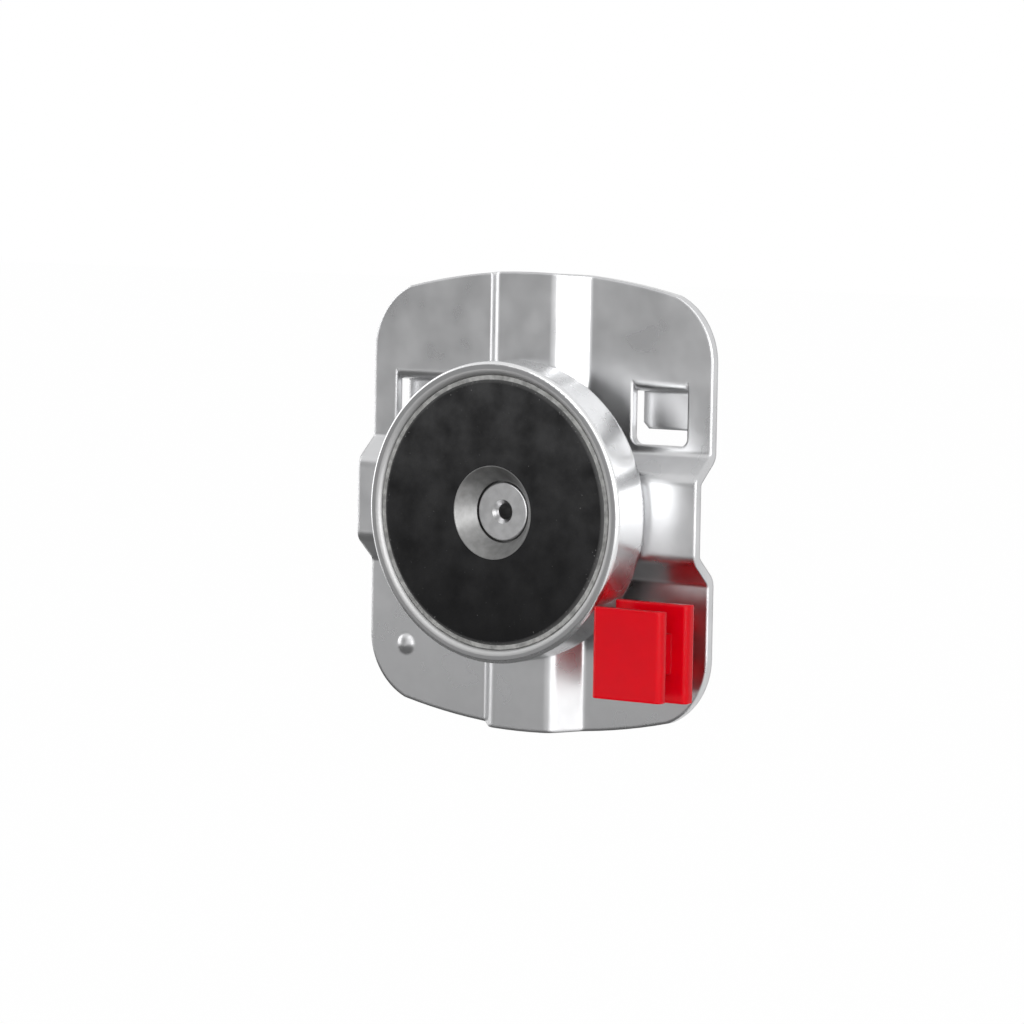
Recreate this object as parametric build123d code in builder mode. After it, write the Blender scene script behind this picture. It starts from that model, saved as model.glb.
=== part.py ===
from build123d import *
from math import acos, cos, pi, radians, sin, sqrt, tan
import os

# Magnetic tool holder for a perforated panel.
# Millimetres. X runs to the right, Z up, and the front of the holder faces -Y.
# The origin lies on the magnet's axis, in the plane where the plate's rear faces meet the panel.
# "Forward" distances are counted from that plane towards the front.

# Perforated panel that the holder hangs on: square holes on a square grid
PANEL_PITCH = 38.0
PANEL_HOLE = 10.0
PANEL_SHEET = 1.25

# Stamped plate: outline with rounded corners and slightly crowned top and bottom edges
SHEET = 1.25
PLATE_WIDTH = 54.0
PLATE_HEIGHT = 60.75
PLATE_RISE = 0.97
CORNER_RADIUS = 9.5
SHOULDER_SET = 5.8
CROWN_RISE = 2.5

# Raised cross pressed into the plate
CROSS_STEP = 3.47
SLOPE_ANGLE = 49.0
PRESS_RADIUS = 0.8
UPRIGHT_FLAT = 7.8
CROSSBAR_FLAT = 8.8
CROSS_CORNER = 3.0

# Two hooks lanced out of the upper corners, bent back and then down behind the panel
HOOK_SEAT = 16.2
HOOK_LENGTH = 4.95
HOOK_WIDTH = 8.3
HOOK_BEND = 0.15
HOOK_PLAY = 0.15
HOOK_TIP_CHAMFER = 0.85
LANCE_GAP = 0.15
WINDOW_CORNER = 1.1
NEUTRAL_FACTOR = 0.45

# Small pip pressed into the lower left corner
PIP_X = -21.1
PIP_Z = -19.6
PIP_DIAMETER = 2.8
PIP_HEIGHT = 0.45

# Pot magnet: steel cup, ferrite ring, cast filler between them, steel bush in the middle
CUP_DIAMETER = 39.6
CUP_HEIGHT = 7.15
CUP_WALL = 1.8
CUP_FLOOR = 1.8
CUP_HEEL_RADIUS = 1.5
CUP_LIP_RADIUS = 0.55
CUP_MOUTH_RADIUS = 0.8
FILLER_WIDTH = 0.6
FILLER_RECESS = 0.45
FERRITE_RECESS = 0.15
FERRITE_CHAMFER = 0.3
BUSH_MOUTH = 12.1
BUSH_LAND = 0.1
HEAD_SUNK = 2.4
HEAD_PLAY = 0.2
MAGNET_FIT = 0.03

# Blind rivet through bush, cup and plate
RIVET_HEAD = 7.8
RIVET_HEAD_HEIGHT = 0.9
RIVET_HEAD_EDGE = 0.25
RIVET_SHANK = 4.0
RIVET_PLAY = 0.1
RIVET_BORE = 2.15
RIVET_DIMPLE = 3.2
RIVET_DIMPLE_DEPTH = 0.7
BULB_DIAMETER = 6.0
BULB_LENGTH = 2.2
BULB_ROUND = 1.0
MANDREL_PLAY = 0.03
MANDREL_SUNK = 3.4
MANDREL_HEAD = 3.6
MANDREL_HEAD_HEIGHT = 0.7

# Plastic lock clip: grip pad, neck, flange and a split plug through the plate
CLIP_CUP_PLAY = 0.2
CLIP_STANDOFF = 5.55
FLANGE_WIDTH = 11.3
FLANGE_HEIGHT = 12.8
FLANGE_THICKNESS = 1.6
NECK_WIDTH = 6.6
NECK_HEIGHT = 5.15
NECK_LENGTH = 4.3
PAD_WIDTH = 10.6
PAD_HEIGHT = 11.8
PAD_THICKNESS = 1.3
CLIP_SIDE_ROUND = 0.8
CLIP_EDGE = 0.2
PLUG_SHIFT = 1.8
PLUG_WIDTH = 5.2
PLUG_HEIGHT = 8.4
PLUG_LEG = 2.2
PLUG_FIT = 0.15
SLOT_CORNER = 0.5
CATCH_PLAY = 0.15
CATCH_LENGTH = 1.4
CATCH_REACH = 0.5
CATCH_LAND = 0.3

# Forward levels of the stack, from the panel to the magnet's rim
raised_face = SHEET + CROSS_STEP
floor_face = raised_face + CUP_FLOOR
rim_face = raised_face + CUP_HEIGHT
filler_face = rim_face - FILLER_RECESS
ferrite_face = rim_face - FERRITE_RECESS
head_face = ferrite_face - HEAD_SUNK
head_seat = head_face - RIVET_HEAD_HEIGHT
bulb_end = CROSS_STEP - BULB_LENGTH
mandrel_end = bulb_end - MANDREL_HEAD_HEIGHT
flange_back = SHEET + CLIP_STANDOFF
flange_face = flange_back + FLANGE_THICKNESS
pad_back = flange_face + NECK_LENGTH
pad_face = pad_back + PAD_THICKNESS

# Radii of the turned pieces, from the outside in
cup_radius = CUP_DIAMETER / 2
cup_bore = cup_radius - CUP_WALL
ferrite_radius = cup_bore - FILLER_WIDTH
bush_radius = BUSH_MOUTH / 2 + BUSH_LAND
well_radius = RIVET_HEAD / 2 + HEAD_PLAY
rivet_hole = RIVET_SHANK / 2 + RIVET_PLAY
mandrel_radius = RIVET_BORE / 2 - MANDREL_PLAY

# Plate outline: straight sides, corner arcs up to a shoulder, and a shallow crown between shoulders
half_width = PLATE_WIDTH / 2
half_height = PLATE_HEIGHT / 2
corner_turn = acos(1 - SHOULDER_SET / CORNER_RADIUS)
shoulder_x = half_width - SHOULDER_SET
shoulder_z = half_height - CROWN_RISE
corner_x = half_width - CORNER_RADIUS
corner_z = shoulder_z - CORNER_RADIUS * sin(corner_turn)
corner_mid_x = corner_x + CORNER_RADIUS * cos(corner_turn / 2)
corner_mid_z = corner_z + CORNER_RADIUS * sin(corner_turn / 2)

# Raised cross: flats and bend radii give the foot of its slopes
slope = radians(SLOPE_ANGLE)
slope_run = CROSS_STEP / tan(slope)
wall_shift = SHEET * tan(slope / 2)
bend_outside = PRESS_RADIUS + SHEET
crest_set = bend_outside * tan(slope / 2)
upright_foot = UPRIGHT_FLAT / 2 + crest_set + slope_run
crossbar_foot = CROSSBAR_FLAT / 2 + crest_set + slope_run
blank_width = PLATE_WIDTH + PLATE_HEIGHT
upright_reach = upright_foot + CROSS_CORNER
crossbar_reach = crossbar_foot + CROSS_CORNER

# Hooks: the flat length of the bent tab gives the height of the window that it leaves
hook_column = PANEL_PITCH / 2
hook_throat = PANEL_SHEET + HOOK_PLAY
hook_outside = HOOK_BEND + SHEET
hook_root = HOOK_SEAT + hook_outside
hook_tip = HOOK_SEAT - HOOK_LENGTH
bend_length = pi / 2 * (HOOK_BEND + NEUTRAL_FACTOR * SHEET)
arm_length = hook_throat - 2 * HOOK_BEND
drop_length = HOOK_LENGTH - HOOK_BEND
window_height = 2 * bend_length + arm_length + drop_length + LANCE_GAP
window_width = HOOK_WIDTH + 2 * LANCE_GAP
window_middle = hook_root - window_height / 2

# The clip is level with the panel hole one pitch below the right hook, and its flange just clears the cup
clip_z = HOOK_SEAT + PANEL_HOLE / 2 - PANEL_PITCH
flange_corner_z = clip_z + FLANGE_HEIGHT / 2
flange_corner_reach = cup_radius + CLIP_CUP_PLAY
flange_corner_x = sqrt(flange_corner_reach ** 2 - flange_corner_z ** 2)
clip_x = flange_corner_x + FLANGE_WIDTH / 2
plug_x = clip_x - PLUG_SHIFT
pip_radius = PIP_DIAMETER / 2

# Views from the front, and sections whose second coordinate runs forward
FORWARD = (0, -1, 0)
front_view = Plane((0, 0, 0), x_dir=(1, 0, 0), z_dir=FORWARD)
plate_view = Plane((0, 0, PLATE_RISE), x_dir=(1, 0, 0), z_dir=FORWARD)
clip_view = Plane((clip_x, 0, clip_z), x_dir=(1, 0, 0), z_dir=FORWARD)
plug_view = Plane((plug_x, 0, clip_z), x_dir=(1, 0, 0), z_dir=FORWARD)
magnet_section = Plane((0, 0, 0), x_dir=(0, 0, 1), z_dir=(1, 0, 0))
pip_section = Plane((PIP_X, 0, PIP_Z), x_dir=(1, 0, 0), z_dir=(0, 0, -1))
clip_section = Plane((clip_x, 0, clip_z), x_dir=(1, 0, 0), z_dir=(0, 0, -1))
plug_section = Plane((plug_x, 0, clip_z), x_dir=(0, 0, 1), z_dir=(1, 0, 0))
magnet_axis = Axis((0, 0, 0), FORWARD)
pip_axis = Axis((PIP_X, 0, PIP_Z), FORWARD)


def turned_section(corners):
    """Draw the half section of a turned piece from its (radius, forward) corners."""
    with BuildLine() as outline:
        Polyline(corners, close=True)
    make_face(outline.edges())


def bends_at(part, forward):
    """Pick the long edges along the raised cross that lie at one forward level."""
    level = part.edges().filter_by_position(Axis.Y, -forward, -forward)
    middle = level.filter_by_position(Axis.Z, -shoulder_z, shoulder_z, inclusive=(False, False))
    inside = middle.filter_by_position(Axis.X, -half_width, half_width, inclusive=(False, False))
    upright = inside.filter_by(lambda e: abs(e.center().X) < upright_reach)
    crossbar = inside.filter_by(lambda e: abs(e.center().Z) < crossbar_reach)
    return set(upright + crossbar)


def cross_outline(inset):
    """Draw the foot of the raised cross, drawn in by an inset, with rounded inner corners."""
    upright = upright_foot - inset
    crossbar = crossbar_foot - inset
    Rectangle(2 * upright, blank_width)
    Rectangle(blank_width, 2 * crossbar)
    inner = vertices().filter_by(lambda v: abs(v.X) < 2 * upright and abs(v.Y) < 2 * crossbar)
    fillet(inner, CROSS_CORNER + inset)


def plate_outline():
    """Draw the plate's outline."""
    with BuildLine() as outline:
        crown = ThreePointArc((-shoulder_x, shoulder_z), (0, half_height), (shoulder_x, shoulder_z))
        left = ThreePointArc(crown @ 0, (-corner_mid_x, corner_mid_z), (-half_width, corner_z))
        right = ThreePointArc(crown @ 1, (corner_mid_x, corner_mid_z), (half_width, corner_z))
        Line(left @ 1, (-half_width, 0))
        Line(right @ 1, (half_width, 0))
        mirror(about=Plane.XZ)
    make_face(outline.edges())


def hook_section():
    """Draw a hook from the side: bent back at the root, then down behind the panel."""
    with BuildLine() as outline:
        root = JernArc((-SHEET, hook_root), (0, -1), hook_outside, 90)
        seat = Line(root @ 1, (hook_throat - HOOK_BEND, HOOK_SEAT))
        throat = JernArc(seat @ 1, (1, 0), HOOK_BEND, -90)
        drop = Line(throat @ 1, (hook_throat, hook_tip))
        tip = Line(drop @ 1, (hook_throat + SHEET, hook_tip))
        back = Line(tip @ 1, (hook_throat + SHEET, HOOK_SEAT - HOOK_BEND))
        heel = JernArc(back @ 1, (0, 1), hook_outside, 90)
        top = Line(heel @ 1, (HOOK_BEND, HOOK_SEAT + SHEET))
        inside = JernArc(top @ 1, (-1, 0), HOOK_BEND, -90)
        Line(inside @ 1, root @ 0)
    make_face(outline.edges())


def pip_dome(base):
    """Draw the half section of the pip's dome on a forward level."""
    with BuildLine() as outline:
        dome = TangentArc((0, base + PIP_HEIGHT), (pip_radius, base), tangent=(1, 0))
        Polyline(dome @ 1, (0, base), dome @ 0)
    make_face(outline.edges())


def plug_leg():
    """Draw the upper leg of the plug, with its catch behind the plate."""
    outside = PLUG_HEIGHT / 2
    inside = outside - PLUG_LEG
    catch_front = -CATCH_PLAY
    catch_back = catch_front - CATCH_LENGTH
    with BuildLine() as outline:
        Polyline([
            (inside, flange_back),
            (outside, flange_back),
            (outside, catch_front),
            (outside + CATCH_REACH, catch_front),
            (outside + CATCH_REACH, catch_front - CATCH_LAND),
            (outside - CATCH_REACH, catch_back),
            (inside, catch_back),
        ], close=True)
    make_face(outline.edges())


# Base plate: one sheet with the raised cross, two hooks, a pip and three holes
with BuildPart() as base_plate:
    with BuildSketch(front_view):
        Rectangle(blank_width, blank_width)
    extrude(amount=SHEET)
    with BuildSketch(front_view.offset(SHEET)):
        cross_outline(0)
    extrude(amount=CROSS_STEP, taper=90 - SLOPE_ANGLE)
    with BuildSketch(front_view):
        cross_outline(wall_shift)
    extrude(amount=CROSS_STEP, taper=90 - SLOPE_ANGLE, mode=Mode.SUBTRACT)
    with BuildSketch(plate_view):
        plate_outline()
    extrude(amount=raised_face, mode=Mode.INTERSECT)
    fillet(bends_at(base_plate, raised_face), bend_outside)
    fillet(bends_at(base_plate, SHEET), PRESS_RADIUS)
    fillet(bends_at(base_plate, CROSS_STEP), PRESS_RADIUS)
    fillet(bends_at(base_plate, 0), bend_outside)
    with BuildSketch(front_view):
        with Locations((-hook_column, window_middle), (hook_column, window_middle)):
            Rectangle(window_width, window_height)
        fillet(vertices().group_by(Axis.Y)[0], WINDOW_CORNER)
    extrude(amount=SHEET, mode=Mode.SUBTRACT)
    for column in (-hook_column, hook_column):
        with BuildSketch(Plane.YZ.offset(column)):
            hook_section()
        extrude(amount=HOOK_WIDTH / 2, both=True)
    tip_edges = base_plate.edges().filter_by(Axis.Y).filter_by_position(Axis.Z, hook_tip, hook_tip)
    chamfer(tip_edges, HOOK_TIP_CHAMFER)
    with BuildSketch(front_view):
        Circle(rivet_hole)
    extrude(amount=raised_face, mode=Mode.SUBTRACT)
    with BuildSketch(plug_view):
        RectangleRounded(PLUG_WIDTH + 2 * PLUG_FIT, PLUG_HEIGHT + 2 * PLUG_FIT, SLOT_CORNER)
    extrude(amount=SHEET, mode=Mode.SUBTRACT)
    with BuildSketch(pip_section):
        pip_dome(SHEET)
    revolve(axis=pip_axis)
    with BuildSketch(pip_section):
        pip_dome(0)
    revolve(axis=pip_axis, mode=Mode.SUBTRACT)

# Steel cup of the pot magnet
with BuildPart() as magnet_cup:
    with BuildSketch(magnet_section):
        turned_section([
            (rivet_hole, raised_face),
            (cup_radius, raised_face),
            (cup_radius, rim_face),
            (cup_bore, rim_face),
            (cup_bore, floor_face),
            (rivet_hole, floor_face),
        ])
        fillet(vertices().group_by(Axis.Y)[0].sort_by(Axis.X)[-1], CUP_HEEL_RADIUS)
        fillet(vertices().group_by(Axis.Y)[-1].sort_by(Axis.X)[-1], CUP_LIP_RADIUS)
        fillet(vertices().group_by(Axis.Y)[-1].sort_by(Axis.X)[0], CUP_MOUTH_RADIUS)
    revolve(axis=magnet_axis)

# Ferrite ring, magnetised front to back
with BuildPart() as ferrite_ring:
    with BuildSketch(magnet_section):
        turned_section([
            (bush_radius + MAGNET_FIT, floor_face),
            (ferrite_radius, floor_face),
            (ferrite_radius, ferrite_face),
            (bush_radius + MAGNET_FIT, ferrite_face),
        ])
        chamfer(vertices().group_by(Axis.Y)[-1].sort_by(Axis.X)[-1], FERRITE_CHAMFER)
    revolve(axis=magnet_axis)

# Cast filler in the gap between ferrite and cup wall
with BuildPart() as gap_filler:
    with BuildSketch(magnet_section):
        turned_section([
            (ferrite_radius + MAGNET_FIT, floor_face),
            (cup_bore - MAGNET_FIT, floor_face),
            (cup_bore - MAGNET_FIT, filler_face),
            (ferrite_radius + MAGNET_FIT, filler_face),
        ])
    revolve(axis=magnet_axis)

# Countersunk bush that the rivet head sits in
with BuildPart() as centre_bush:
    with BuildSketch(magnet_section):
        turned_section([
            (rivet_hole, floor_face),
            (bush_radius, floor_face),
            (bush_radius, ferrite_face),
            (BUSH_MOUTH / 2, ferrite_face),
            (well_radius, head_face),
            (well_radius, head_seat),
            (rivet_hole, head_seat),
        ])
    revolve(axis=magnet_axis)

# Blind rivet: hollow body with its head in front and its set bulb behind the plate
with BuildPart() as rivet_body:
    with BuildSketch(magnet_section):
        turned_section([
            (RIVET_BORE / 2, bulb_end),
            (BULB_DIAMETER / 2, bulb_end),
            (BULB_DIAMETER / 2, CROSS_STEP),
            (RIVET_SHANK / 2, CROSS_STEP),
            (RIVET_SHANK / 2, head_seat),
            (RIVET_HEAD / 2, head_seat),
            (RIVET_HEAD / 2, head_face),
            (RIVET_DIMPLE / 2, head_face),
            (RIVET_BORE / 2, head_face - RIVET_DIMPLE_DEPTH),
        ])
        fillet(vertices().group_by(Axis.X)[-1].sort_by(Axis.Y)[-1], RIVET_HEAD_EDGE)
        fillet(vertices().group_by(Axis.Y)[0].sort_by(Axis.X)[-1], BULB_ROUND)
    revolve(axis=magnet_axis)

# Rest of the rivet's mandrel, snapped off inside the body
with BuildPart() as rivet_mandrel:
    with BuildSketch(magnet_section):
        turned_section([
            (0, mandrel_end),
            (MANDREL_HEAD / 2, mandrel_end),
            (MANDREL_HEAD / 2, bulb_end),
            (mandrel_radius, bulb_end),
            (mandrel_radius, head_face - MANDREL_SUNK),
            (0, head_face - MANDREL_SUNK),
        ])
    revolve(axis=magnet_axis)

# Lock clip: pad and flange on a neck, with two sprung legs through the plate
with BuildPart() as lock_clip:
    for face, width, height, thickness in (
        (pad_face, PAD_WIDTH, PAD_HEIGHT, PAD_THICKNESS),
        (flange_face, FLANGE_WIDTH, FLANGE_HEIGHT, FLANGE_THICKNESS),
    ):
        with BuildSketch(clip_section):
            with Locations((0, face - thickness / 2)):
                Rectangle(width, thickness)
            fillet(vertices().group_by(Axis.Y)[-1], CLIP_SIDE_ROUND)
        extrude(amount=height / 2, both=True)
        fillet(faces(Select.LAST).filter_by(Axis.Z).edges(), CLIP_EDGE)
    with BuildSketch(clip_view.offset(flange_face)):
        Rectangle(NECK_WIDTH, NECK_HEIGHT)
    extrude(amount=NECK_LENGTH)
    with BuildSketch(plug_section):
        plug_leg()
        mirror(about=Plane.YZ)
    extrude(amount=PLUG_WIDTH / 2, both=True)

pieces = {
    "base_plate": base_plate,
    "magnet_cup": magnet_cup,
    "ferrite_ring": ferrite_ring,
    "gap_filler": gap_filler,
    "centre_bush": centre_bush,
    "rivet_body": rivet_body,
    "rivet_mandrel": rivet_mandrel,
    "lock_clip": lock_clip,
}
os.makedirs("parts", exist_ok=True)
for name, piece in pieces.items():
    piece.part.label = name
    export_step(piece.part, f"parts/{name}.step")
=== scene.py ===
"""Studio scene of a magnetic tool holder for a perforated panel.

A zinc-plated plate with a pressed cross and two lanced hooks carries a pot magnet on a blind rivet,
and a red plastic clip at its lower right corner locks it to the panel. Sizes are in metres.
"""

import logging
import math
from abc import ABC
from abc import abstractmethod
from dataclasses import dataclass
from dataclasses import field
from enum import Enum

import bpy
from mathutils import Matrix
from mathutils import Vector


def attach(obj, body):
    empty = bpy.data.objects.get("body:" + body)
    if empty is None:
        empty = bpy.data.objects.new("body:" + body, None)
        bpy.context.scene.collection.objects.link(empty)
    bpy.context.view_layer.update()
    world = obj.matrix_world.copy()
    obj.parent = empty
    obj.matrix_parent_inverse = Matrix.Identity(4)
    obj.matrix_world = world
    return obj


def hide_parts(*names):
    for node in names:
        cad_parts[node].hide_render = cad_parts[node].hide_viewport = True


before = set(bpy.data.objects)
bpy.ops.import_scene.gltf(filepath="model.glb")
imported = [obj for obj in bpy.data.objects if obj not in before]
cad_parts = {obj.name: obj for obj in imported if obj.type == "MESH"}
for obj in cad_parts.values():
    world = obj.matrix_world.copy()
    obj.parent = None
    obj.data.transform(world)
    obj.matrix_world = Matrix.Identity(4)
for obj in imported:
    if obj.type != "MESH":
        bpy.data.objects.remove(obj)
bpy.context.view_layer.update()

Triple = tuple[float, float, float]
Pair = tuple[float, float]

MM = 0.001
FERRITE_RADIUS = 17.4 * MM
ROLL_SAMPLES = 8
WHITE = (1.0, 1.0, 1.0, 1.0)

# Ranges of a value: the whole of it, and the middle of a noise for more or for less contrast
FULL: Pair = (0.0, 1.0)
PATCHY: Pair = (0.35, 0.65)
CLOUDY: Pair = (0.3, 0.7)

log = logging.getLogger("tool_holder")


class Body(Enum):
    """The two bodies that move against each other."""

    HOLDER = "holder"
    LOCK = "lock"


class NodeGraph:
    """Adds and links the nodes of one tree."""

    def __init__(self, tree: bpy.types.NodeTree) -> None:
        """Takes the tree to build in."""
        self.tree = tree

    def add(self, kind: str, **settings: object) -> bpy.types.Node:
        """Adds one node.

        Args:
            kind: The node's type name.
            settings: Values for the node's own properties.

        Returns:
            The new node.
        """
        node = self.tree.nodes.new(kind)
        for name, value in settings.items():
            setattr(node, name, value)
        return node

    def put(self, value: object, socket: bpy.types.NodeSocket) -> None:
        """Gives one input its value.

        Args:
            value: A socket links to the input, and any other value is written into it.
            socket: The input.
        """
        if isinstance(value, bpy.types.NodeSocket):
            self.tree.links.new(value, socket)
        else:
            socket.default_value = value

    def feed(self, node: bpy.types.Node, **inputs: object) -> bpy.types.Node:
        """Sets or links a node's inputs by name, with _ for a space.

        Args:
            node: The node that takes the inputs.
            inputs: The value or socket for each input.

        Returns:
            The same node.
        """
        for name, value in inputs.items():
            self.put(value, node.inputs[name.replace("_", " ")])
        return node

    def math(self, operation: str, *values: object) -> bpy.types.NodeSocket:
        """Adds a Math node.

        Args:
            operation: The Math node's operation.
            values: Up to three sockets or numbers.

        Returns:
            The socket with the result.
        """
        node = self.add("ShaderNodeMath", operation=operation)
        for socket, value in zip(node.inputs, values):
            self.put(value, socket)
        return node.outputs[0]

    def show(self, shader: bpy.types.Node) -> None:
        """Links a shader to the material's surface."""
        self.put(shader.outputs[0], self.tree.nodes["Material Output"].inputs["Surface"])


class SurfaceGraph(NodeGraph):
    """One material's nodes, round its Principled shader."""

    def __init__(self, name: str) -> None:
        """Starts a material.

        Args:
            name: The material's name.
        """
        self.material = bpy.data.materials.new(name)
        self.material.use_nodes = True
        super().__init__(self.material.node_tree)
        self.shader = self.tree.nodes["Principled BSDF"]
        self.place = self.add("ShaderNodeTexCoord").outputs["Object"]

    def stretched(self, scale: Triple) -> bpy.types.NodeSocket:
        """Object coordinates scaled along each axis, for grain that runs one way."""
        mapping = self.feed(self.add("ShaderNodeMapping"), Vector=self.place, Scale=scale)
        return mapping.outputs["Vector"]

    def along(self, axis: str) -> bpy.types.NodeSocket:
        """One of the object coordinates, X, Y or Z."""
        axes = self.feed(self.add("ShaderNodeSeparateXYZ"), Vector=self.place)
        return axes.outputs[axis]

    def from_axis(self) -> bpy.types.NodeSocket:
        """Distance of a surface point from the magnet's axis.

        Returns:
            The distance in metres.
        """
        length = self.add("ShaderNodeVectorMath", operation="LENGTH")
        self.put(self.stretched((1.0, 0.0, 1.0)), length.inputs[0])
        return length.outputs["Value"]

    def noise(
        self, size: float, detail: float = 2.0, place: bpy.types.NodeSocket | None = None
    ) -> bpy.types.NodeSocket:
        """Fractal noise whose largest patches are about the given size.

        Args:
            size: Patch size in metres.
            detail: Octaves of finer patches.
            place: Coordinates, or None for the object's own.

        Returns:
            The noise value, near 0.5 on average.
        """
        node = self.add("ShaderNodeTexNoise")
        self.feed(node, Vector=place or self.place, Scale=1.0 / size, Detail=detail)
        return node.outputs["Fac"]

    def spread(
        self, value: bpy.types.NodeSocket, source: Pair, target: Pair
    ) -> bpy.types.NodeSocket:
        """Maps a value from one range to another, with its ends held.

        Args:
            value: The value to map.
            source: The range that it comes in.
            target: The range that it goes out in.

        Returns:
            The mapped value.
        """
        node = self.add("ShaderNodeMapRange")
        self.feed(node, Value=value, From_Min=source[0], From_Max=source[1])
        self.feed(node, To_Min=target[0], To_Max=target[1])
        return node.outputs["Result"]

    def blend(
        self, factor: bpy.types.NodeSocket, low: object, high: object
    ) -> bpy.types.NodeSocket:
        """Mixes two colours.

        Args:
            factor: 0 gives the low colour and 1 the high one.
            low: A colour or a socket.
            high: A colour or a socket.

        Returns:
            The mixed colour.
        """
        node = self.add("ShaderNodeMix", data_type="RGBA")
        sockets = {s.identifier: s for s in node.inputs}
        self.put(factor, sockets["Factor_Float"])
        for name, colour in (("A_Color", low), ("B_Color", high)):
            solid = isinstance(colour, tuple)
            self.put((*colour, 1.0) if solid else colour, sockets[name])
        return next(s for s in node.outputs if s.identifier == "Result_Color")

    def relief(self, height: bpy.types.NodeSocket, depth: float, edge_roll: float = 0.0) -> None:
        """Gives the surface a fine relief.

        Args:
            height: 0 to 1 over the surface.
            depth: Height of the relief in metres.
            edge_roll: Radius that sharp edges are shaded with, or 0 to leave them sharp.
        """
        bump = self.feed(self.add("ShaderNodeBump"), Height=height, Distance=depth)
        if edge_roll > 0.0:
            roll = self.feed(self.add("ShaderNodeBevel", samples=ROLL_SAMPLES), Radius=edge_roll)
            self.feed(bump, Normal=roll.outputs["Normal"])
        self.feed(self.shader, Normal=bump.outputs["Normal"])


class Finish(ABC):
    """A surface finish that becomes one material."""

    name: str

    def material(self) -> bpy.types.Material:
        """Builds the material.

        Returns:
            The material with the finish's nodes.
        """
        graph = SurfaceGraph(self.name)
        self.lay(graph)
        return graph.material

    @abstractmethod
    def lay(self, graph: SurfaceGraph) -> None:
        """Adds the finish's nodes to a material's graph."""


@dataclass(frozen=True)
class PlatedSheet(Finish):
    """Bright zinc on rolled sheet: cloudy patches, a faint grain and edges rolled by the press."""

    name: str = "plated_sheet"
    pale: Triple = (0.635, 0.637, 0.645)
    dull: Triple = (0.57, 0.572, 0.58)
    roughness: Pair = (0.26, 0.34)
    cloud: float = 5.0 * MM
    grain: float = 0.5 * MM
    grain_stretch: float = 0.4
    depth: float = 0.0015 * MM
    edge_roll: float = 0.6 * MM

    def lay(self, graph: SurfaceGraph) -> None:
        """Lays the patches, the grain and the rolled edges.

        Args:
            graph: The material's nodes.
        """
        clouds = graph.noise(self.cloud)
        rolled = graph.noise(self.grain, place=graph.stretched((1.0, 1.0, self.grain_stretch)))
        colour = graph.blend(graph.spread(clouds, PATCHY, FULL), self.dull, self.pale)
        graph.feed(graph.shader, Base_Color=colour, Metallic=1.0)
        graph.feed(graph.shader, Roughness=graph.spread(clouds, CLOUDY, self.roughness))
        graph.relief(rolled, self.depth, self.edge_roll)


@dataclass(frozen=True)
class PlatedCup(Finish):
    """Bright zinc on the drawn cup, with a ground rim and a mouth dulled by the casting."""

    name: str = "plated_cup"
    wall: Triple = (0.76, 0.765, 0.77)
    rim: Triple = (0.40, 0.40, 0.405)
    mouth: Triple = (0.52, 0.52, 0.52)
    wall_roughness: float = 0.26
    rim_roughness: float = 0.34
    mouth_roughness: float = 0.55
    mottle: Pair = (-0.03, 0.03)
    mouth_radius: float = 18.8 * MM
    rim_from: float = -11.85 * MM
    cloud: float = 3.0 * MM
    grain: float = 0.3 * MM
    depth: float = 0.001 * MM

    def lay(self, graph: SurfaceGraph) -> None:
        """Lays the wall, the ground rim and the dull mouth.

        Args:
            graph: The material's nodes.
        """
        ground = graph.math("LESS_THAN", graph.along("Y"), self.rim_from)
        inside = graph.math("LESS_THAN", graph.from_axis(), self.mouth_radius)
        plated = graph.blend(ground, self.wall, self.rim)
        colour = graph.blend(inside, plated, self.mouth)
        graph.feed(graph.shader, Base_Color=colour, Metallic=1.0)
        outer = graph.spread(ground, FULL, (self.wall_roughness, self.rim_roughness))
        dulled = graph.math("MULTIPLY", inside, self.mouth_roughness)
        rough = graph.math("MAXIMUM", outer, dulled)
        mottle = graph.spread(graph.noise(self.cloud), CLOUDY, self.mottle)
        graph.feed(graph.shader, Roughness=graph.math("ADD", rough, mottle))
        graph.relief(graph.noise(self.grain), self.depth)


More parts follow.
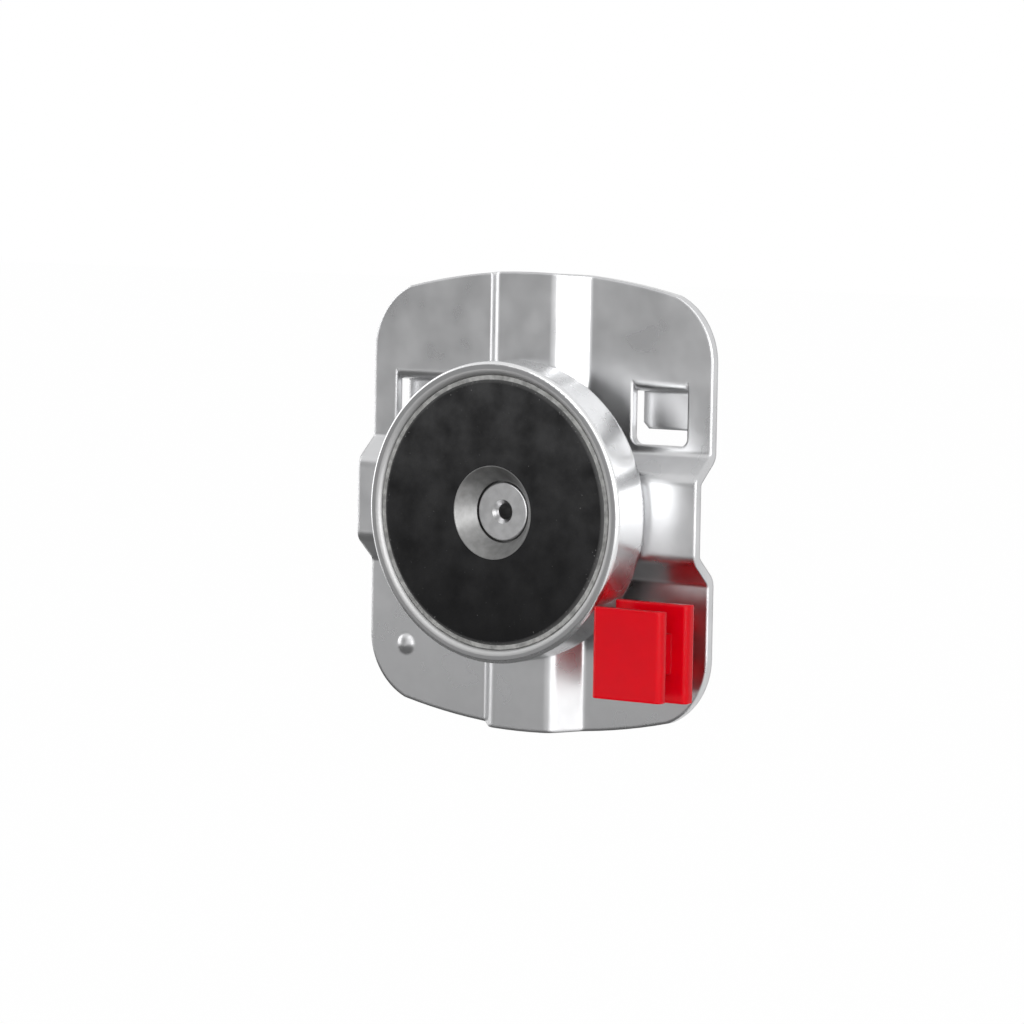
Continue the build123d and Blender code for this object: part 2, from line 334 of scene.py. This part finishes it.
@dataclass(frozen=True)
class SinteredFerrite(Finish):
    """Black sintered ferrite with a ground face: cloudy grey dust, paler towards the top as painted
    light, pores, and a pale edge ring painted as a highlight.
    """

    name: str = "sintered_ferrite"
    black: Triple = (0.005, 0.005, 0.0054)
    dust_and_sheen: Triple = (0.044, 0.044, 0.045)
    # Grey of the dust clouds, which the painted light towards the top also blends in.
    speck: Triple = (0.16, 0.16, 0.16)
    # Colour of the painted highlight on the face's outer edge.
    edge_highlight: Triple = (0.09, 0.09, 0.09)
    edge: float = FERRITE_RADIUS
    edge_width: float = 1.2 * MM
    edge_highlight_width: float = 0.5 * MM
    cloud: float = 4.0 * MM
    cloud_detail: float = 6.0
    cloud_band: Pair = (0.30, 0.66)
    cloud_dust: Pair = (0.2, 1.0)
    # Painted light: share of the dust grey from the bottom to the top of the face, for its sheen
    # being lighter at the top.
    painted_top_light: Pair = (0.1, 1.0)
    pore: float = 0.25 * MM
    speck_band: Pair = (0.74, 0.80)
    edge_specks: float = 0.12
    depth: float = 0.02 * MM
    roughness: float = 0.55
    specular: float = 0.1

    def lay(self, graph: SurfaceGraph) -> None:
        """Lays the dust, made paler towards the top as painted light, the pores and the pale edge
        ring painted as a highlight.

        Args:
            graph: The material's nodes.
        """
        noise = graph.noise(self.cloud, self.cloud_detail)
        clouds = graph.spread(noise, self.cloud_band, self.cloud_dust)
        # Painted light: the face turns paler towards the top, standing in for its sheen there.
        painted_top_light = graph.spread(graph.along("Z"), (-self.edge, self.edge), self.painted_top_light)
        pores = graph.noise(self.pore)
        reach = graph.from_axis()
        rim = graph.spread(reach, (self.edge - self.edge_width, self.edge), (0.0, self.edge_specks))
        specks = graph.spread(graph.math("ADD", pores, rim), self.speck_band, FULL)
        # Painted highlight: a paler ring at the face's outer edge, for the light that its chamfer
        # catches.
        edge_highlight_mask = graph.spread(reach, (self.edge - self.edge_highlight_width, self.edge), FULL)
        face = graph.blend(graph.math("MULTIPLY", clouds, painted_top_light), self.black, self.dust_and_sheen)
        edged = graph.blend(edge_highlight_mask, face, self.edge_highlight)
        graph.feed(graph.shader, Base_Color=graph.blend(specks, edged, self.speck))
        graph.feed(graph.shader, Roughness=self.roughness, Specular_IOR_Level=self.specular)
        graph.relief(pores, self.depth)


@dataclass(frozen=True)
class CastFiller(Finish):
    """Grey casting compound with pale grains, uneven where it set against the cup."""

    name: str = "cast_filler"
    grey: Triple = (0.22, 0.22, 0.215)
    pale: Triple = (0.40, 0.40, 0.39)
    roughness: float = 0.6
    cloud: float = 0.9 * MM
    cloud_detail: float = 5.0
    grain: float = 0.18 * MM
    depth: float = 0.03 * MM

    def lay(self, graph: SurfaceGraph) -> None:
        """Lays the two greys and the grain.

        Args:
            graph: The material's nodes.
        """
        clouds = graph.spread(graph.noise(self.cloud, self.cloud_detail), PATCHY, FULL)
        graph.feed(graph.shader, Base_Color=graph.blend(clouds, self.grey, self.pale))
        graph.feed(graph.shader, Roughness=self.roughness)
        graph.relief(graph.noise(self.grain), self.depth)


@dataclass(frozen=True)
class TurnedMetal(Finish):
    """Bare or plated metal with the fine rings that a lathe or a rivet tool leaves."""

    name: str
    pale: Triple
    dull: Triple
    roughness: float
    cloud: float = 1.2 * MM
    cloud_detail: float = 4.0
    ring: float = 0.12 * MM
    depth: float = 0.003 * MM

    def lay(self, graph: SurfaceGraph) -> None:
        """Lays the patches and the rings.

        Args:
            graph: The material's nodes.
        """
        rings = graph.math("PINGPONG", graph.from_axis(), self.ring)
        height = graph.spread(rings, (0.0, self.ring), FULL)
        clouds = graph.spread(graph.noise(self.cloud, self.cloud_detail), PATCHY, FULL)
        colour = graph.blend(clouds, self.dull, self.pale)
        graph.feed(graph.shader, Base_Color=colour, Metallic=1.0, Roughness=self.roughness)
        graph.relief(height, self.depth)


@dataclass(frozen=True)
class MouldedPlastic(Finish):
    """Glossy moulded plastic that lets a little light through, with a trace of orange peel."""

    name: str = "red_plastic"
    colour: Triple = (0.66, 0.0008, 0.0085)
    shaded: Triple = (0.62, 0.0007, 0.0080)
    specular: float = 0.15
    glow: float = 0.5
    glow_depth: float = 2.5 * MM
    glow_reach: Triple = (1.0, 0.1, 0.1)
    roughness: Pair = (0.10, 0.18)
    cloud: float = 2.5 * MM
    cloud_detail: float = 3.0
    peel: float = 0.5 * MM
    peel_detail: float = 1.0
    depth: float = 0.006 * MM
    edge_roll: float = 0.4 * MM

    def lay(self, graph: SurfaceGraph) -> None:
        """Lays the red, its gloss and glow, the orange peel and the moulded edges.

        Args:
            graph: The material's nodes.
        """
        clouds = graph.noise(self.cloud, self.cloud_detail)
        mixed = graph.blend(graph.spread(clouds, CLOUDY, FULL), self.shaded, self.colour)
        graph.feed(graph.shader, Base_Color=mixed, Specular_IOR_Level=self.specular)
        graph.feed(graph.shader, Subsurface_Weight=self.glow, Subsurface_Scale=self.glow_depth)
        graph.feed(graph.shader, Subsurface_Radius=self.glow_reach)
        graph.feed(graph.shader, Roughness=graph.spread(clouds, CLOUDY, self.roughness))
        graph.relief(graph.noise(self.peel, self.peel_detail), self.depth, self.edge_roll)


def paint(piece: bpy.types.Object, material: bpy.types.Material) -> None:
    """Puts one material on a whole piece."""
    piece.data.materials.clear()
    piece.data.materials.append(material)


def painted(finishes: dict[str, Finish]) -> list[bpy.types.Object]:
    """Puts a finish on each of some CAD pieces.

    Args:
        finishes: The finish for each node's name.

    Returns:
        The CAD pieces.
    """
    for node, finish in finishes.items():
        paint(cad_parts[node], finish.material())
    return [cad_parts[node] for node in finishes]


def settle(piece: bpy.types.Object) -> None:
    """Turns a piece's modifiers into plain mesh.

    Args:
        piece: The object with live modifiers, which keeps none.
    """
    bpy.context.view_layer.update()
    graph = bpy.context.evaluated_depsgraph_get()
    mesh = bpy.data.meshes.new_from_object(piece.evaluated_get(graph))
    mesh.name = piece.name
    piece.modifiers.clear()
    piece.data = mesh


def rectangle(name: str, size: Pair) -> bpy.types.Object:
    """Makes a flat rectangle round the origin, facing up.

    Args:
        name: The object's name.
        size: Its two sides in metres.

    Returns:
        The rectangle, linked to the scene.
    """
    x, y = (side / 2 for side in size)
    mesh = bpy.data.meshes.new(name)
    mesh.from_pydata([(-x, -y, 0.0), (x, -y, 0.0), (x, y, 0.0), (-x, y, 0.0)], [], [(0, 1, 2, 3)])
    sheet = bpy.data.objects.new(name, mesh)
    bpy.context.scene.collection.objects.link(sheet)
    return sheet


def aimed(place: Triple, along: Triple) -> Matrix:
    """Places a thing and turns its Z axis.

    Args:
        place: Where the thing goes.
        along: Where its Z axis points.

    Returns:
        The placing matrix.
    """
    turned = Vector(along).to_track_quat("Z", "Y").to_matrix().to_4x4()
    return Matrix.Translation(Vector(place)) @ turned


@dataclass
class BasePlate:
    """The pressed sheet with its cross, hooks and windows."""

    finish: PlatedSheet = field(default_factory=PlatedSheet)
    body: Body = Body.HOLDER

    def dress(self) -> list[bpy.types.Object]:
        """Finishes the CAD piece and returns it."""
        return painted({"base_plate": self.finish})


@dataclass
class PotMagnet:
    """The cup, ferrite and bush round the magnet's axis."""

    cup: PlatedCup = field(default_factory=PlatedCup)
    ferrite: SinteredFerrite = field(default_factory=SinteredFerrite)
    bush: TurnedMetal = TurnedMetal("turned_bush", (0.31, 0.31, 0.308), (0.245, 0.245, 0.243), 0.42)
    body: Body = Body.HOLDER

    def dress(self) -> list[bpy.types.Object]:
        """Finishes the CAD pieces and returns them."""
        finishes = {"magnet_cup": self.cup, "ferrite_ring": self.ferrite, "centre_bush": self.bush}
        return painted(finishes)


@dataclass
class FillerRing:
    """The casting compound round the ferrite: a ring with an uneven face and loose grains."""

    finish: CastFiller = field(default_factory=CastFiller)
    body: Body = Body.HOLDER
    node: str = "gap_filler"
    inner: float = FERRITE_RADIUS
    outer: float = 18.0 * MM
    face: float = 11.42 * MM
    back: float = 6.52 * MM
    face_share: float = 0.995
    round_steps: int = 420
    section_steps: int = 40
    sharp_angle: float = math.radians(50)
    ripple: float = 0.12 * MM
    ripple_size: float = 1.6 * MM
    ripple_detail: float = 4.0
    grain: float = 0.07 * MM
    grain_subdivisions: int = 2
    grain_scale: Pair = (0.4, 1.3)
    grain_facing: float = -0.6
    grains: int = 160
    seed: int = 7

    def sizes(self) -> dict[str, float]:
        """Works out the sizes that the node tree takes.

        Returns:
            The value for each of the tree's sizes, with the grains counted by the square metre.
        """
        area = math.pi * (self.outer**2 - self.inner**2)
        return {
            "Mean Radius": (self.inner + self.outer) / 2,
            "Width": self.outer - self.inner,
            "Depth": self.face - self.back,
            "Face": self.face,
            "Ripple": self.ripple,
            "Ripple Size": self.ripple_size,
            "Grain": self.grain,
            "Grains": self.grains / area,
        }

    def tree(self) -> bpy.types.GeometryNodeTree:
        """Builds the node tree that sweeps, roughens and grains the ring.

        Returns:
            The tree, with one named input for each size.
        """
        tree = bpy.data.node_groups.new("filler_ring", "GeometryNodeTree")
        kinds = dict.fromkeys(self.sizes(), "NodeSocketFloat")
        kinds |= {"Seed": "NodeSocketInt", "Finish": "NodeSocketMaterial"}
        for name, kind in kinds.items():
            tree.interface.new_socket(name, in_out="INPUT", socket_type=kind)
        tree.interface.new_socket("Geometry", in_out="OUTPUT", socket_type="NodeSocketGeometry")
        graph = NodeGraph(tree)
        given = graph.add("NodeGroupInput").outputs
        ring = self.uneven(graph, given, self.swept(graph, given))
        joined = graph.add("GeometryNodeJoinGeometry")
        graph.put(ring, joined.inputs[0])
        graph.put(self.scattered(graph, given, ring), joined.inputs[0])
        whole = graph.feed(graph.add("GeometryNodeRealizeInstances"), Geometry=joined.outputs[0])
        done = graph.add("GeometryNodeSetMaterial")
        graph.feed(done, Geometry=whole.outputs[0], Material=given["Finish"])
        graph.put(done.outputs[0], graph.add("NodeGroupOutput").inputs[0])
        return tree

    def swept(self, graph: NodeGraph, given: bpy.types.NodeOutputs) -> bpy.types.NodeSocket:
        """Sweeps the ring's section round the axis.

        Args:
            graph: The tree's nodes.
            given: The tree's inputs.

        Returns:
            The ring's mesh.
        """
        circle = graph.add("GeometryNodeCurvePrimitiveCircle")
        graph.feed(circle, Resolution=self.round_steps, Radius=given["Mean Radius"])
        section = graph.add("GeometryNodeCurvePrimitiveQuadrilateral")
        graph.feed(section, Width=given["Width"], Height=given["Depth"])
        fine = graph.add("GeometryNodeResampleCurve")
        graph.feed(fine, Curve=section.outputs[0], Count=self.section_steps)
        sweep = graph.add("GeometryNodeCurveToMesh")
        graph.feed(sweep, Curve=circle.outputs[0], Profile_Curve=fine.outputs[0])
        front = graph.math("MULTIPLY", given["Face"], -1.0)
        middle = graph.math("MULTIPLY_ADD", given["Depth"], 0.5, front)
        shift = graph.feed(graph.add("ShaderNodeCombineXYZ"), Y=middle)
        turned = graph.add("GeometryNodeTransform")
        graph.feed(turned, Geometry=sweep.outputs[0], Translation=shift.outputs[0])
        graph.feed(turned, Rotation=(math.radians(90), 0.0, 0.0))
        return turned.outputs[0]

    def uneven(
        self, graph: NodeGraph, given: bpy.types.NodeOutputs, ring: bpy.types.NodeSocket
    ) -> bpy.types.NodeSocket:
        """Makes the ring's face uneven.

        Args:
            graph: The tree's nodes.
            given: The tree's inputs.
            ring: The even ring.

        Returns:
            The ring's mesh.
        """
        place = graph.add("GeometryNodeInputPosition").outputs[0]
        depth = graph.feed(graph.add("ShaderNodeSeparateXYZ"), Vector=place).outputs["Y"]
        limit = graph.math("MULTIPLY", given["Face"], -self.face_share)
        front = graph.math("LESS_THAN", depth, limit)
        noise = graph.feed(graph.add("ShaderNodeTexNoise"), Vector=place, Detail=self.ripple_detail)
        graph.feed(noise, Scale=graph.math("DIVIDE", 1.0, given["Ripple Size"]))
        swing = graph.math("SUBTRACT", 0.5, noise.outputs["Fac"])
        rise = graph.math("MULTIPLY", graph.math("MULTIPLY", swing, given["Ripple"]), 2.0)
        lift = graph.feed(graph.add("ShaderNodeCombineXYZ"), Y=rise)
        moved = graph.add("GeometryNodeSetPosition")
        graph.feed(moved, Geometry=ring, Selection=front, Offset=lift.outputs[0])
        return moved.outputs[0]

    def scattered(
        self, graph: NodeGraph, given: bpy.types.NodeOutputs, ring: bpy.types.NodeSocket
    ) -> bpy.types.NodeSocket:
        """Scatters loose grains over the ring's face.

        Args:
            graph: The tree's nodes.
            given: The tree's inputs.
            ring: The mesh that carries the grains.

        Returns:
            The grains as instances.
        """
        normal = graph.add("GeometryNodeInputNormal").outputs[0]
        facing = graph.feed(graph.add("ShaderNodeSeparateXYZ"), Vector=normal).outputs["Y"]
        front = graph.math("LESS_THAN", facing, self.grain_facing)
        points = graph.add("GeometryNodeDistributePointsOnFaces")
        graph.feed(points, Mesh=ring, Selection=front, Density=given["Grains"], Seed=given["Seed"])
        ball = graph.add("GeometryNodeMeshIcoSphere")
        graph.feed(ball, Radius=given["Grain"], Subdivisions=self.grain_subdivisions)
        vary = graph.add("FunctionNodeRandomValue", data_type="FLOAT")
        graph.feed(vary, Seed=given["Seed"])
        ends = {s.identifier: s for s in vary.inputs}
        for end, scale in zip(("Min_001", "Max_001"), self.grain_scale):
            graph.put(scale, ends[end])
        sized = next(s for s in vary.outputs if s.identifier == "Value_001")
        grains = graph.add("GeometryNodeInstanceOnPoints")
        graph.feed(grains, Points=points.outputs[0], Instance=ball.outputs[0], Scale=sized)
        return grains.outputs[0]

    def build(self) -> bpy.types.Object:
        """Runs the tree with this ring's sizes.

        Returns:
            The ring as a plain mesh.
        """
        ring = bpy.data.objects.new("cast_filler", bpy.data.meshes.new("cast_filler"))
        bpy.context.scene.collection.objects.link(ring)
        values = self.sizes() | {"Seed": self.seed, "Finish": self.finish.material()}
        modifier = ring.modifiers.new("filler_ring", "NODES")
        modifier.node_group = self.tree()
        for item in modifier.node_group.interface.items_tree:
            if item.in_out == "INPUT":
                modifier[item.identifier] = values[item.name]
        settle(ring)
        ring.data.shade_smooth()
        ring.data.set_sharp_from_angle(angle=self.sharp_angle)
        return ring

    def dress(self) -> list[bpy.types.Object]:
        """Builds the ring and sets it on the holder in the CAD ring's place.

        Returns:
            The ring.
        """
        ring = self.build()
        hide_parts(self.node)
        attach(ring, self.body.value)
        return [ring]


@dataclass
class BlindRivet:
    """The rivet's metal and the broken end of its mandrel."""

    metal: TurnedMetal = TurnedMetal("rivet_metal", (0.62, 0.62, 0.625), (0.52, 0.52, 0.525), 0.30)
    mandrel: TurnedMetal = TurnedMetal("mandrel_steel", (0.10, 0.10, 0.10), (0.05, 0.05, 0.05), 0.5)
    body: Body = Body.HOLDER

    def dress(self) -> list[bpy.types.Object]:
        """Finishes the CAD pieces and returns them."""
        return painted({"rivet_body": self.metal, "rivet_mandrel": self.mandrel})


@dataclass
class LockClip:
    """The red clip that slides into the panel."""

    finish: MouldedPlastic = field(default_factory=MouldedPlastic)
    body: Body = Body.LOCK

    def dress(self) -> list[bpy.types.Object]:
        """Finishes the CAD piece and returns it."""
        return painted({"lock_clip": self.finish})


@dataclass
class Card:
    """A flat studio card that only shows in reflections."""

    name: str
    centre: Triple
    facing: Triple
    size: Pair
    grey: float

    def build(self) -> bpy.types.Object:
        """Makes the card.

        Returns:
            The card.
        """
        card = rectangle(self.name, self.size)
        card.data.transform(aimed(self.centre, self.facing))
        material = bpy.data.materials.new(self.name)
        material.use_nodes = True
        graph = NodeGraph(material.node_tree)
        graph.tree.nodes.remove(graph.tree.nodes["Principled BSDF"])
        colour = (self.grey, self.grey, self.grey, 1.0)
        graph.show(graph.feed(graph.add("ShaderNodeEmission"), Color=colour))
        paint(card, material)
        card.visible_camera = False
        card.visible_diffuse = False
        card.visible_shadow = False
        return card


@dataclass
class Lamp:
    """A soft area lamp aimed at the object."""

    name: str
    place: Triple
    size: Pair
    power: float

    def build(self) -> bpy.types.Object:
        """Makes the lamp.

        Returns:
            The lamp, which the camera doesn't see.
        """
        data = bpy.data.lights.new(self.name, "AREA")
        data.shape = "RECTANGLE"
        data.size, data.size_y = self.size
        data.energy = self.power
        lamp = bpy.data.objects.new(self.name, data)
        lamp.matrix_world = aimed(self.place, self.place)
        lamp.visible_camera = False
        bpy.context.scene.collection.objects.link(lamp)
        return lamp


@dataclass
class Camera:
    """The photograph's viewpoint, fitted to the plate, the magnet and the clip."""

    turn: float = 0.603812
    height: float = 0.080076
    roll: float = 0.017432
    distance: float = 600.0 * MM
    offset: Pair = (4.0495 * MM, 0.5614 * MM)
    lens: float = 158.90
    sensor: float = 36.0
    clip: Pair = (10.0 * MM, 50.0)

    def build(self) -> bpy.types.Object:
        """Makes the camera and gives it to the scene.

        Returns:
            The camera.
        """
        level = math.cos(self.height)
        sideways, forward = math.sin(self.turn), math.cos(self.turn)
        back = Vector((sideways * level, -forward * level, math.sin(self.height)))
        flat_right = Vector((forward, sideways, 0.0))
        flat_up = back.cross(flat_right)
        right = math.cos(self.roll) * flat_right + math.sin(self.roll) * flat_up
        up = math.cos(self.roll) * flat_up - math.sin(self.roll) * flat_right
        place = back * self.distance - right * self.offset[0] - up * self.offset[1]
        data = bpy.data.cameras.new("camera")
        data.sensor_width = self.sensor
        data.lens = self.lens
        data.clip_start, data.clip_end = self.clip
        camera = bpy.data.objects.new("camera", data)
        turned = Matrix((right, up, back)).transposed().to_4x4()
        camera.matrix_world = Matrix.Translation(place) @ turned
        bpy.context.scene.collection.objects.link(camera)
        bpy.context.scene.camera = camera
        return camera


@dataclass
class Studio:
    """White surroundings, a pale floor, soft lamps and the cards that the metal mirrors."""

    floor_level: float = -75.0 * MM
    floor_size: Pair = (6.0, 6.0)
    floor_colour: tuple[float, ...] = (0.95, 0.95, 0.95, 1.0)
    floor_roughness: float = 0.9
    floor_white: float = 0.99
    ambient: float = 0.40
    cards: tuple[Card, ...] = (
        Card("left_card", (-0.40, -0.45, -0.04), (0.40, 0.45, 0.04), (0.44, 0.60), 0.42),
        Card("low_card", (-0.0975, -0.09, -0.07), (0.0, 0.0, 1.0), (0.265, 0.26), 0.18),
    )
    lamps: tuple[Lamp, ...] = (
        Lamp("right_lamp", (0.46, -0.46, 0.08), (0.70, 0.50), 3.2),
        Lamp("left_lamp", (-0.52, -0.08, 0.10), (0.16, 0.50), 0.5),
        Lamp("top_lamp", (0.05, -0.53, 0.40), (0.40, 0.26), 0.42),
    )

    def backdrop_share(self, graph: NodeGraph) -> bpy.types.NodeSocket:
        """Finds the rays that show the background: seen straight, mirrored or through glass.

        Args:
            graph: The nodes that need it.

        Returns:
            1 for such a ray and 0 for any other.
        """
        path = graph.add("ShaderNodeLightPath").outputs
        mirrored = graph.math("MAXIMUM", path["Is Glossy Ray"], path["Is Transmission Ray"])
        return graph.math("MAXIMUM", path["Is Camera Ray"], mirrored)

    def build_world(self) -> None:
        """Lights the object evenly and shows white behind it."""
        world = bpy.data.worlds.new("studio")
        world.use_nodes = True
        bpy.context.scene.world = world
        graph = NodeGraph(world.node_tree)
        share = self.backdrop_share(graph)
        strength = graph.math("MULTIPLY_ADD", share, 1.0 - self.ambient, self.ambient)
        graph.feed(world.node_tree.nodes["Background"], Color=WHITE, Strength=strength)

    def build_floor(self) -> bpy.types.Object:
        """Makes the pale floor.

        Returns:
            The floor.
        """
        floor = rectangle("floor", self.floor_size)
        floor.data.transform(Matrix.Translation((0.0, 0.0, self.floor_level)))
        graph = SurfaceGraph("pale_floor")
        graph.feed(graph.shader, Base_Color=self.floor_colour, Roughness=self.floor_roughness)
        glow = graph.feed(graph.add("ShaderNodeEmission"), Color=WHITE)
        share = graph.math("MULTIPLY", self.backdrop_share(graph), self.floor_white)
        mix = graph.add("ShaderNodeMixShader")
        for value, socket in zip((share, graph.shader.outputs[0], glow.outputs[0]), mix.inputs):
            graph.put(value, socket)
        graph.show(mix)
        paint(floor, graph.material)
        return floor

    def build(self) -> None:
        """Builds the surroundings, the floor, the cards and the lamps."""
        bpy.context.scene.view_settings.view_transform = "Standard"
        self.build_world()
        log.info("stage: %s", self.build_floor().name)
        for thing in (*self.cards, *self.lamps):
            log.info("stage: %s", thing.build().name)


def main() -> None:
    """Builds the holder, then the studio and the camera."""
    logging.basicConfig(level=logging.INFO, format="%(name)s %(message)s")
    for assembly in (BasePlate(), PotMagnet(), FillerRing(), BlindRivet(), LockClip()):
        for piece in assembly.dress():
            log.info("piece: %s on %s", piece.name, assembly.body.value)
    Studio().build()
    log.info("view: %s", Camera().build().name)


if __name__ == "__main__":
    main()
